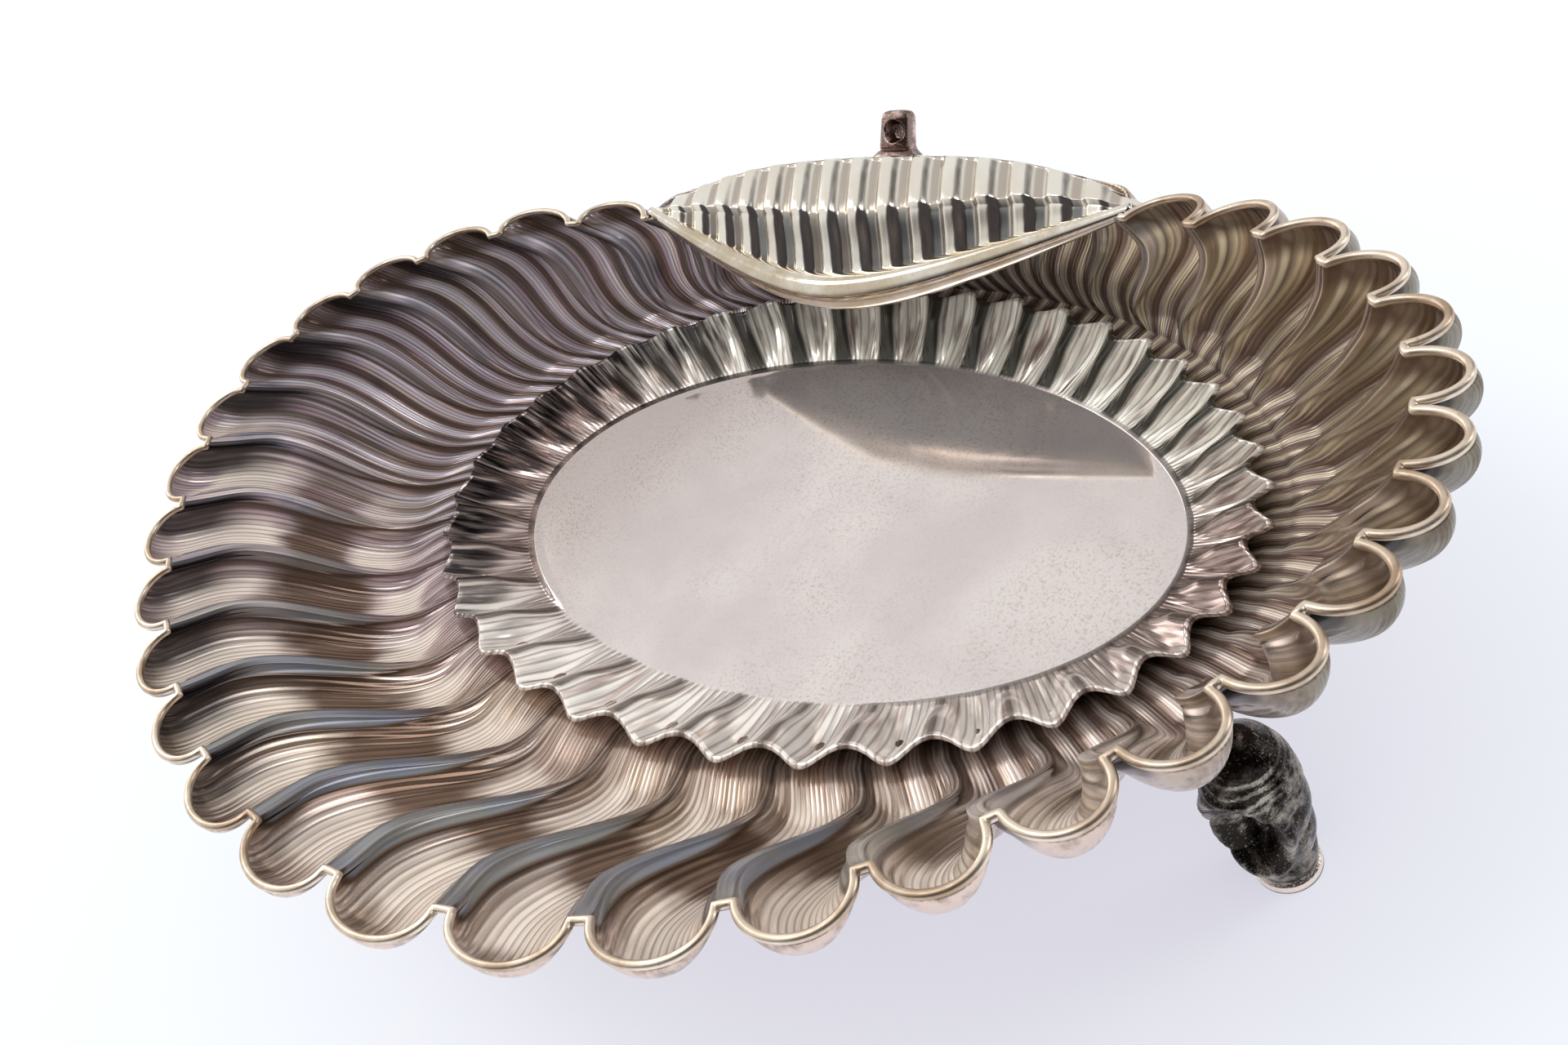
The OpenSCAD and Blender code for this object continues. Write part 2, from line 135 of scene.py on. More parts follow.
def oval(a, b, y0, sweep, z, t):
    r = np.radians(t)
    return np.stack(np.broadcast_arrays(
        a * np.cos(r), CENTRE_Y + y0 + b * np.sin(r) + sweep * np.cos(2 * r), FOOT_H + z + 0 * r), -1)


def rim_z(t):
    r = np.radians(t)
    return (RIM_RISE + RIM_LIFT * np.cos(2 * r) - RIM_TIP * np.sin(r)
            - HOOD_DIP * np.exp(-((from_rear(t) - DIP_AT) / DIP_WIDTH) ** 2))


def climb(s):
    """Share of its height that the wall has reached at s: it is steepest half way up."""
    steeper = np.sin(2 * np.pi * s) * smooth(s * OGEE_FADE) * smooth((1 - s) * OGEE_FADE)
    return s ** WALL_POWER - OGEE * steeper


def wall_point(s, t, out):
    up = np.maximum(s, 0)
    down = np.maximum(-s, 0)
    wall = oval(mix(TRAY_A + SHOULDER_OUT, RIM_A - LOBE_OUT + out + RIM_TAPER * np.sin(np.radians(t)), up),
                mix(TRAY_B + SHOULDER_OUT, RIM_B - LOBE_OUT + out, up),
                -RIM_FORWARD * up, RIM_SWEEP * up,
                SHOULDER_RISE + (rim_z(t) - SHOULDER_RISE) * climb(up), t)
    base = oval(mix(TRAY_A + SHOULDER_OUT, FLOOR_A - BASE_INSET, down),
                mix(TRAY_B + SHOULDER_OUT, FLOOR_B - BASE_INSET, down),
                0, 0, mix(SHOULDER_RISE, -TRAY_SHEET, smooth(down * 1.1)), t)
    return np.where((s >= 0)[..., None], wall, base)


def outward(a, b, t):
    r = np.radians(t)
    return unit(np.stack([b * np.cos(r), a * np.sin(r), 0 * r], -1))


def wall_normal(s, t):
    low, high = wall_point(clamp(s - 0.05), t, 0), wall_point(clamp(s + 0.05), t, 0)
    o = outward(RIM_A, RIM_B, t)
    run = ((high - low) * o).sum(-1)
    v = o * (high - low)[..., 2:3]
    v[..., 2] -= run
    under = np.broadcast_to(np.array([0.0, 0.0, -1.0]), v.shape)
    return np.where((s >= 0)[..., None], unit(v), under)


def lobe(k):
    """How far the rim stands out along one flute: a round lobe, with a short flat notch on either side."""
    return np.sqrt(np.maximum(0, 1 - (across(k) / LOBE_HALF) ** 2))


def channel(k, edge):
    """The cross-section of a channel: a round trough with a crisp fold along each side."""
    trough_power = 2.4
    return np.maximum(0, 1 - (np.abs(across(k)) / edge) ** trough_power)


def depth_at(s):
    """A channel's depth up the wall: it is shallower half way up, deepest near the rim, and ends in a lip."""
    sunk = sum(share * smooth((s - start) / over) for share, start, over in DEPTH_STEPS)
    lip = clamp((s - LIP_FROM) / (1 - LIP_FROM)) ** LIP_POWER
    return np.where(s <= 0, 0.0, sunk * np.sqrt(1 - lip))


def bowl_point(s, k, skin):
    t = mix(turn(k, 0), turn(k, 1), clamp(s)) + FLUTE_SWAY * np.sin(2 * np.pi * clamp(s))
    is_open = open_rim(t)
    out = mix(LOBE_OUT, LOBE_OUT * lobe(k), is_open)
    edge = mix(FOLD_WIDE, FOLD_NARROW, smooth((s - FOLD_FROM) / (FOLD_TO - FOLD_FROM)))
    edge = mix(edge, LOBE_HALF, smooth((s - FOLD_OPENS) / (1 - FOLD_OPENS)))
    hooded = mix(HOOD_CHANNEL, 1, smooth((from_rear(t) - HOOD_FADE_FROM) / HOOD_FADE))
    depth = FLUTE_DEPTH * depth_at(s) * channel(k, edge) * hooded
    n = wall_normal(s, t)
    v = unit(n - np.array([0.0, 0.0, 1.0]) * clamp(s)[..., None])
    return wall_point(s, t, out) + v * depth[..., None] + n * skin * BOWL_SHEET


# ---------- mesh helpers ----------

def make_mesh(name, points, faces, flow):
    """A smooth-shaded mesh in metres from points in millimetres; flow has a (u, v) pair per face corner."""
    mesh = bpy.data.meshes.new(name)
    mesh.from_pydata((np.asarray(points) * MM).tolist(), [], faces)
    mesh.update()
    layer = mesh.uv_layers.new(name="flow")
    layer.data.foreach_set("uv", np.asarray(flow, np.float32).ravel())
    mesh.shade_smooth()
    obj = bpy.data.objects.new(name, mesh)
    bpy.context.scene.collection.objects.link(obj)
    return obj


def grid_faces(rows, columns, wrap):
    """The four-sided faces of a grid of points, and the row and column that each one starts at."""
    i, j = np.meshgrid(np.arange(rows - 1), np.arange(columns if wrap else columns - 1), indexing="ij")
    a = i * columns + j
    b = i * columns + (j + 1) % columns
    return np.stack([a, b, b + columns, a + columns], -1).reshape(-1, 4), i.ravel(), j.ravel()


def grid_flow(u, v, i, j):
    """Flow for the corners of grid_faces: u has one value more than the columns, v has one for each row."""
    return np.stack([np.stack([u[j], v[i]], -1), np.stack([u[j + 1], v[i]], -1),
                     np.stack([u[j + 1], v[i + 1]], -1), np.stack([u[j], v[i + 1]], -1)], 1)


def ring_solid(name, rings, u, v):
    """A closed skin over rings of points, with a fan on its first and last ring."""
    rings = np.asarray(rings)
    m, n = rings.shape[:2]
    quads, i, j = grid_faces(m, n, True)
    flow = grid_flow(u, v, i, j)[:, ::-1].reshape(-1, 2)
    points = rings.reshape(-1, 3)
    faces = quads[:, ::-1].tolist()
    extra, extra_flow = [], []
    for ring, flip in ((0, False), (m - 1, True)):
        centre = len(points)
        points = np.vstack([points, rings[ring].mean(0)])
        for c in range(n):
            a, b = ring * n + c, ring * n + (c + 1) % n
            extra.append([a, b, centre] if not flip else [b, a, centre])
            ends = [[u[c], v[ring]], [u[c + 1], v[ring]]]
            extra_flow += (ends if not flip else ends[::-1]) + [[u[c], v[ring]]]
    return make_mesh(name, points, faces + extra, np.vstack([flow, np.array(extra_flow).reshape(-1, 2)]))


def tube(path, radii, sides, up_hint=(0.0, 0.0, 1.0)):
    """Rings of points round a path, one radius for each point of it."""
    along = unit(np.gradient(path, axis=0))
    side = unit(np.cross(along, np.array(up_hint)))
    up = np.cross(side, along)
    a = np.linspace(0, 2 * np.pi, sides, endpoint=False)
    return (path[:, None] + np.asarray(radii)[:, None, None]
            * (side[:, None] * np.cos(a)[None, :, None] + up[:, None] * np.sin(a)[None, :, None]))


# ---------- bowl, wire and tray ----------

# The flow of the bowl's outer skin runs this much below that of its inner skin, which tells them apart.
OUTSIDE = 4.0
# Points across the round part of a flute, and where the notch beside it has its corner.
ROUND_POINTS, NOTCH = 33, 0.465


def flute_columns():
    """Places across one flute, closer together along the folds and the notch."""
    round_part = LOBE_HALF * np.sin(np.linspace(-np.pi / 2, np.pi / 2, ROUND_POINTS))
    p = np.concatenate([[-0.5, -NOTCH], round_part, [NOTCH]])
    return np.concatenate([k + p for k in range(FLUTES)])


def build_bowl():
    k = flute_columns()
    # The rows lie closer together towards the rim.
    closer_from = 0.78
    s = np.concatenate([np.linspace(-1, 0, 7)[:-1], np.linspace(0, closer_from, 40)[:-1],
                        closer_from + (1 - closer_from) * np.sin(np.linspace(0, np.pi / 2, 22))])
    inner = np.stack([bowl_point(np.full_like(k, x), k, 0.0) for x in s])
    outer = np.stack([bowl_point(np.full_like(k, x), k, 1.0) for x in s[::-1]])
    u = np.append(k, k[0] + FLUTES)
    v = np.concatenate([s, s[::-1] - OUTSIDE])
    return ring_solid("outer_bowl_fluted", np.concatenate([inner, outer]), u, v)


def build_wire():
    wire_up = 0.4
    k = flute_columns()
    k = np.concatenate([k, k + FLUTES])
    k = k[(k >= FIRST_OPEN) & (k <= LAST_OPEN)]
    path = bowl_point(np.ones_like(k), k, 0.5) + np.array([0, 0, WIRE_R * wire_up])
    rings = tube(path, np.full(len(k), WIRE_R), 10)
    return ring_solid("rim_wire_round", rings, np.linspace(0, 1, 11), k)


def tray_point(s, k, skin):
    t = turn(k, 0)
    o = outward(TRAY_A, TRAY_B, t)
    p = across(k)
    pointed = 0.05
    wave = TRAY_WAVE * np.cos(2 * np.pi * (p + pointed * np.sin(2 * np.pi * p))) * smooth(s * WAVE_GROWTH)
    calm = 1 - EDGE_CALM * smooth((s - CALM_FROM) / (1 - CALM_FROM))
    relief = TRAY_RELIEF * np.cos(2 * np.pi * p) * smooth(s * TRAY_GROWTH) * calm
    height = TRAY_RISE * s ** TRAY_POWER
    flute = oval(mix(FLOOR_A, TRAY_A, s), mix(FLOOR_B, TRAY_B, s), -TRAY_FORWARD * s, 0, height, t)
    tilted = o * TRAY_TILT[0] - np.array([0, 0, TRAY_TILT[1]])
    way = np.where((s == 0)[..., None], np.array([0, 0, -1.0]), tilted)
    sunk = o * SUNK_WAY[0] - np.array([0, 0, SUNK_WAY[1]])
    return flute + o * wave[..., None] + sunk * relief[..., None] + skin * TRAY_SHEET * way


def build_tray():
    k = np.concatenate([c + np.linspace(-0.5, 0.5, 20, endpoint=False) for c in range(FLUTES)])
    s = np.concatenate([[0.0], np.linspace(0.02, 1, 22)])
    # The flat floor's rings, as shares of its size: the last one is close to the wall.
    inward = (0.05, 0.5, 0.96)
    floor_rings = [oval(FLOOR_A * f, FLOOR_B * f, 0, 0, 0, turn(k, 0)) for f in inward]
    inner = [tray_point(np.full_like(k, x), k, 0.0) for x in s]
    outer = [tray_point(np.full_like(k, x), k, 1.0) for x in s[::-1]]
    v = np.concatenate([np.array(inward) - 1, s, s[::-1]])
    u = np.append(k, k[0] + FLUTES)
    return ring_solid("well_tray_fluted", np.stack(floor_rings + inner + outer), u, v)


# ---------- hood ----------

def roll_centre(u):
    end = wall_point(np.ones_like(u), np.where(u < 0, 180 - HOOD_ANGLE, HOOD_ANGLE), LOBE_OUT / 2)
    low = -HOOD_SKEW / HOOD_HALF
    share = np.where(u < low, (low - u) / (1 + low), (u - low) / (1 - low))
    bend = np.where(u < low, ROLL_BEND[0], ROLL_BEND[1])
    f = (np.sqrt(share ** 2 + bend ** 2) - bend) / (np.sqrt(1 + bend ** 2) - bend)
    return np.stack([HOOD_HALF * u, mix(CENTRE_Y + HOOD_FRONT, end[..., 1], f),
                     mix(FOOT_H + HOOD_FRONT_RISE, end[..., 2], f)], -1)


def roll_radius(u):
    return mix(ROLL_R, ROLL_END_R, np.abs(u) ** 1.5)


def hood_rear(u):
    t = np.degrees(np.arccos(HOOD_HALF * u / RIM_A))
    middle = 1 - np.abs(u)[..., None] ** 5
    return wall_point(np.ones_like(u), t, LOBE_OUT) + np.array([0, BOWL_SHEET, HOOD_SHEET]) * (2 * middle - 1)


# At shares of the way from the hood's rear edge to the roll's centre, the height of its skin above the
# straight line between the two, at its middle.
HOOD_F = [0.0, 0.18, 0.357, 0.5, 0.58, 0.63, 0.743, 0.864, 0.91, 0.945]
HOOD_BULGE = [0.0, 1.9, 3.3, 4.35, 4.8, 4.5, 2.0, 0.1, 0.3, 1.1]
HOOD_CREASE = 0.6
RIB_LEAN = 0.39


def hood_skin(u, v, under):
    """The hood's skin and the rib that each point lies on."""
    rear, front = hood_rear(u), roll_centre(u)
    f = v * HOOD_F[-1]
    fine = np.linspace(0, HOOD_F[-1], 200)
    # A running mean rounds the corners of the section.
    reach = 6
    padded = np.pad(np.interp(fine, HOOD_F, HOOD_BULGE), reach, mode="edge")
    rounded = np.convolve(padded, np.ones(2 * reach + 1) / (2 * reach + 1), "valid")
    bulge = np.interp(f, fine, rounded) * (1 - u * u) ** 0.8
    p = rear + (front - rear) * f[..., None]
    p[..., 2] += bulge * np.where(f < HOOD_CREASE, 1.0, roll_radius(u) / ROLL_R)
    behind = np.maximum(HOOD_CREASE - f, 0) * (rear - front)[..., 1]
    rib = (p[..., 0] + RIB_LEAN * behind) / (2 * HOOD_HALF) * HOOD_RIBS
    ridge = smooth(0.5 + 0.62 * np.cos(2 * np.pi * rib))
    fade = np.sqrt(np.maximum(0, 1 - u * u)) * smooth(f / 0.06 + 0.3) * smooth((HOOD_F[-1] - f) / 0.05)
    lift = np.where(under, -HOOD_SHEET, (RIB_OUT * (ridge * 1.5 - 0.5)) * fade)
    return p + np.array([0, -0.35, 0.94]) * lift[..., None], rib


def build_hood():
    u = np.linspace(-0.985, 0.985, HOOD_RIBS * 24 + 1)
    v = np.linspace(0, 1, 56)
    uu, vv = np.meshgrid(u, v)
    top, rib = hood_skin(uu, vv, False)
    bottom, _ = hood_skin(uu, vv, True)
    rows, columns = uu.shape
    quads = grid_faces(rows, columns, False)[0]
    corner = np.stack([rib.ravel(), vv.ravel()], -1)
    edge = ([(0, c) for c in range(columns)] + [(r, columns - 1) for r in range(1, rows)]
            + [(rows - 1, c) for c in range(columns - 2, -1, -1)] + [(r, 0) for r in range(rows - 2, 0, -1)])
    loop = np.array([r * columns + c for r, c in edge])
    after = np.roll(loop, -1)
    below = rows * columns
    sides = np.stack([loop, after, after + below, loop + below], -1)
    faces = np.concatenate([quads[:, ::-1], quads + below, sides])
    points = np.vstack([top.reshape(-1, 3), bottom.reshape(-1, 3)])
    return make_mesh("hood_ribbed", points, faces.tolist(), corner[faces.ravel() % below])


def build_roll():
    u = np.linspace(-1, 1, 161)
    rings = tube(roll_centre(u), roll_radius(u), 28)
    return ring_solid("hood_roll", rings, np.linspace(0, 1, 29), u * 10)


# ---------- feet, handle and their plates ----------

FOOT_X, FOOT_Y, REAR_FOOT_Y = 85.0, 28.0, 37.0
LEFT_FOOT_TOP, RIGHT_FOOT_TOP, REAR_FOOT_TOP = 28.3, 27.1, 14.6
FOOT_R = 5.8
# At shares of a foot's height, its radius as a share of its largest radius.
SHELL_H = [0.0, 0.045, 0.055, 0.16, 0.32, 0.5, 0.68, 0.8, 0.9, 0.97, 1.0]
SHELL_R = [0.72, 0.72, 0.62, 0.74, 0.86, 0.95, 1.0, 0.94, 0.76, 0.42, 0.12]
WHORL_TURNS = 5.0


def build_foot(name, x, y, top, mouth):
    """A whelk-like shell on its tip: whorls wind up from the sole, and a hollow mouth opens on one side."""
    h = np.linspace(0, 1, 130)
    a = np.linspace(0, 2 * np.pi, 96, endpoint=False)
    hh, aa = np.meshgrid(h, a, indexing="ij")
    radius = FOOT_R * np.interp(hh, SHELL_H, SHELL_R)
    wind = hh * WHORL_TURNS - aa / (2 * np.pi)
    bulge = np.abs(np.sin(np.pi * wind)) ** 0.55
    on_shell = smooth((hh - 0.06) / 0.06) * smooth((0.66 - hh) / 0.12)
    radius = radius * (1 + on_shell * (0.14 * bulge - 0.10))
    # Fine growth ridges run round the body whorl.
    radius += 0.10 * np.sin(2 * np.pi * hh * 26) * smooth((hh - 0.55) / 0.1) * smooth((0.95 - hh) / 0.1)
    turned = apart(np.degrees(aa), mouth)
    from_mouth = np.sqrt((turned / 48.0) ** 2 + ((hh - 0.52) * top / 7.4) ** 2)
    radius += 0.9 * np.exp(-((from_mouth - 1.08) / 0.20) ** 2) - 4.2 * smooth((1.05 - from_mouth) / 0.5)
    # Inside the mouth the next whorl shows as curved ribs.
    radius += 0.5 * np.sin(2 * np.pi * (hh * 9 + turned / 60)) * smooth((0.8 - from_mouth) / 0.3)
    rings = np.stack([x + radius * np.cos(aa), CENTRE_Y + y + radius * np.sin(aa), hh * top], -1)
    return ring_solid(name, rings[:, ::-1], np.linspace(1, 0, len(a) + 1), h)


def build_plate(name, flute, row, half_flute, half_row, thick=1.2):
    """A rounded patch soldered to the outside of one flute."""
    r = np.concatenate([np.linspace(0.02, 0.8, 8), np.linspace(0.84, 1, 8)])
    a = np.linspace(0, 2 * np.pi, 48, endpoint=False)
    rr, aa = np.meshgrid(r, a, indexing="ij")
    k = flute + half_flute * rr * np.cos(aa)
    s = row + half_row * rr * np.sin(aa)
    rise = 1 + thick * np.sqrt(np.maximum(0, 1 - rr ** 6)) / BOWL_SHEET
    dome = bowl_point(s, k, 0.0) + (bowl_point(s, k, 1.0) - bowl_point(s, k, 0.0)) * rise[..., None]
    back = bowl_point(s, k, 0.0) + (bowl_point(s, k, 1.0) - bowl_point(s, k, 0.0)) * 0.6
    rings = np.concatenate([dome, back[::-1]])
    return ring_solid(name, rings, np.linspace(0, 1, len(a) + 1), np.concatenate([r, 2 - r[::-1]]))


HANDLE_Y, HANDLE_Z, HANDLE_R, BAR_R = CENTRE_Y + 51.6, FOOT_H + 12.0, 11.0, 2.2


def build_handle():
    """A C-scroll: a tapered bar on an arc whose upper end winds into a small volute."""
    arc_end, curl_r, curl_turn = 96, 2.3, 330
    arc = np.radians(np.linspace(-100, arc_end, 90))
    y, z = HANDLE_Y + HANDLE_R * np.cos(arc), HANDLE_Z + HANDLE_R * np.sin(arc)
    radius = BAR_R * (0.82 + 0.22 * np.cos(arc) ** 2)
    curl = np.linspace(0, 1, 50)[1:]
    turned = math.radians(arc_end) - curl * math.radians(curl_turn)
    tip_r = curl_r * (1 - 0.55 * curl)
    cy, cz = y[-1] + curl_r * math.cos(math.radians(arc_end)), z[-1] + curl_r
    y = np.concatenate([y, cy - tip_r * np.cos(turned) + 0.1])
    z = np.concatenate([z, cz - tip_r * np.sin(turned)])
    radius = np.concatenate([radius, radius[-1] * (1 - 0.5 * curl)])
    path = np.stack([np.zeros_like(y), y, z], -1)
    rings = tube(path, radius, 24, (1.0, 0.0, 0.0))
    return ring_solid("handle_scroll_bar", rings, np.linspace(0, 1, 25), np.linspace(0, 6, len(y)))


THUMB_Y, THUMB_Z, THUMB_LEAN = CENTRE_Y + 51.4, FOOT_H + 28.4, 38.0


def build_thumb():
    """The cast thumb piece: a broad column on a flared foot, with a curl and a hollow in its front."""
    h = np.array([0, 0.35, 0.9, 1.4, 1.9, 2.4, 3.4, 4.6, 5.8, 6.8, 7.4, 7.8, 8.0])
    half = np.array([4.1, 4.3, 4.0, 3.5, 3.1, 2.9, 2.85, 2.8, 2.75, 2.7, 2.5, 2.1, 1.4])
    fine = np.linspace(0, h[-1], 110)
    half = np.interp(fine, h, half)
    a = np.linspace(0, 2 * np.pi, 72, endpoint=False)
    square = (np.abs(np.cos(a)) ** 4 + np.abs(np.sin(a)) ** 4) ** -0.25
    hh, aa = np.meshgrid(fine, a, indexing="ij")
    x = half[:, None] * square * np.cos(a) + 0.25 * smooth(hh / 8)
    y = 0.62 * half[:, None] * square * np.sin(a)
    # The curl: a C that stands out of the front face, round a hollow on its right.
    front = smooth((-np.sin(aa) - 0.25) / 0.4)
    middle_x, middle_h = 0.9, 4.7
    round_it = np.sqrt(((x - middle_x) / 1.75) ** 2 + ((hh - middle_h) / 2.0) ** 2)
    curl = np.exp(-((round_it - 1) / 0.24) ** 2) * smooth((middle_x + 1.4 - x) / 0.8)
    hollow = smooth((0.95 - round_it) / 0.4)
    band = np.exp(-((hh - 1.9) / 0.28) ** 2)
    y = y - front * (0.8 * curl - 1.2 * hollow - 0.5 * band)
    lean = math.radians(THUMB_LEAN)
    rings = np.stack([x, THUMB_Y + y * math.cos(lean) + hh * math.sin(lean),
                      THUMB_Z + hh * math.cos(lean) - y * math.sin(lean)], -1)
    return ring_solid("handle_thumb_scroll_curl", rings[:, ::-1], np.linspace(1, 0, 73), fine)


# ---------- materials ----------

class Nodes:
    """Short calls for building one material's nodes."""

    def __init__(self, name):
        self.material = bpy.data.materials.new(name)
        self.material.use_nodes = True
        self.tree = self.material.node_tree
        self.tree.nodes.clear()
        self.out = self.tree.nodes.new("ShaderNodeOutputMaterial")
        self.bsdf = self.tree.nodes.new("ShaderNodeBsdfPrincipled")
        self.tree.links.new(self.bsdf.outputs[0], self.out.inputs[0])

    def link(self, value, socket):
        if isinstance(value, bpy.types.NodeSocket):
            self.tree.links.new(value, socket)
        else:
            socket.default_value = value

    def math(self, operation, a, b=0.0):
        node = self.tree.nodes.new("ShaderNodeMath")
        node.operation = operation
        for value, socket in zip((a, b), node.inputs):
            self.link(value, socket)
        return node.outputs[0]

    def plus(self, a, b):
        return self.math("ADD", a, b)

    def minus(self, a, b):
        return self.math("SUBTRACT", a, b)

    def times(self, a, *others):
        for b in others:
            a = self.math("MULTIPLY", a, b)
        return a

    def object_point(self):
        return self.tree.nodes.new("ShaderNodeTexCoord").outputs["Object"]

    def split(self, vector):
        """The three coordinates of a vector."""
        node = self.tree.nodes.new("ShaderNodeSeparateXYZ")
        self.tree.links.new(vector, node.inputs[0])
        return tuple(node.outputs)

    def flow(self):
        node = self.tree.nodes.new("ShaderNodeUVMap")
        node.uv_map = "flow"
        return self.split(node.outputs[0])[:2]

    def point(self, x, y):
        node = self.tree.nodes.new("ShaderNodeCombineXYZ")
        for value, socket in zip((x, y), node.inputs):
            self.link(value, socket)
        return node.outputs[0]

    def noise(self, vector, scale, detail=3.0, rough=0.55):
        node = self.tree.nodes.new("ShaderNodeTexNoise")
        self.link(vector, node.inputs["Vector"])
        node.inputs["Scale"].default_value = scale
        node.inputs["Detail"].default_value = detail
        node.inputs["Roughness"].default_value = rough
        return node.outputs[0]

    def ramp(self, value, low, high, to_low=0.0, to_high=1.0):
        """A smooth step from to_low at low to to_high at high."""
        node = self.tree.nodes.new("ShaderNodeMapRange")
        node.interpolation_type = "SMOOTHSTEP"
        given = {"Value": value, "From Min": low, "From Max": high, "To Min": to_low, "To Max": to_high}
        for name, number in given.items():
            self.link(number, node.inputs[name])
        return node.outputs[0]

    def blend(self, fac, a, b):
        node = self.tree.nodes.new("ShaderNodeMix")
        node.data_type = "RGBA"
        self.link(fac, node.inputs[0])
        for value, socket in ((a, node.inputs[6]), (b, node.inputs[7])):
            self.link(value if isinstance(value, bpy.types.NodeSocket) else (*value, 1.0), socket)
        return node.outputs[2]

    def bump(self, height, strength, distance):
        node = self.tree.nodes.new("ShaderNodeBump")
        node.inputs["Strength"].default_value = strength
        node.inputs["Distance"].default_value = distance
        self.link(height, node.inputs["Height"])
        self.tree.links.new(node.outputs[0], self.bsdf.inputs["Normal"])

    def finish(self, colour, rough, metal=1.0):
        for name, value in (("Base Color", colour), ("Roughness", rough), ("Metallic", metal)):
            self.link(value, self.bsdf.inputs[name])
        return self.material


# The metal's colours: clean, worn and tarnished silver; several of them also serve as painted highlights and
# painted shade.
SILVER = (0.98, 0.84, 0.75)
CREAM = (0.98, 0.85, 0.74)
BROWN = (0.10, 0.06, 0.04)
BLACK = (0.030, 0.024, 0.026)
UMBER = (0.18, 0.11, 0.075)
BEIGE = (0.56, 0.41, 0.34)
MAUVE = (0.62, 0.46, 0.58)
GOLD = (0.64, 0.50, 0.34)
PINK = (0.50, 0.37, 0.38)
BLUE = (0.22, 0.24, 0.30)
STEEL = (0.23, 0.24, 0.235)
LAVENDER = (0.96, 0.90, 1.0)
STRAW = (1.0, 0.88, 0.62)
# The bowl's outside as painted lit and shaded colours.
SHELL_LIT, SHELL_SHADED = (0.76, 0.60, 0.53), (0.20, 0.17, 0.13)
FLOOR_LOW, FLOOR_HIGH = (0.72, 0.65, 0.64), (0.85, 0.78, 0.76)
FLOOR_LEFT, FLOOR_SPOT = (0.55, 0.47, 0.45), (0.42, 0.30, 0.22)
TRAY_SIDE, TRAY_FRONT, TRAY_REAR = (0.62, 0.50, 0.47), (1.0, 0.93, 0.87), (1.0, 0.96, 0.86)
TRAY_SHADE_BAR = (0.05, 0.045, 0.035)
TRAY_STREAK, FRONT_STREAK = (0.26, 0.18, 0.16), (0.58, 0.46, 0.42)


def region(n, x, y, ahead, start, end):
    """1 towards one side of the dish (the way of ahead), 0 on the other; start and end are in millimetres."""
    side = n.plus(n.times(x, ahead[0]), n.times(y, ahead[1]))
    return n.ramp(side, start * MM, end * MM)


def window(n, value, start, full, fade, end):
    """0 below start and above end, 1 between full and fade."""
    return n.times(n.ramp(value, start, full), n.ramp(value, end, fade))


def opposite(n, value):
    return n.minus(1.0, value)


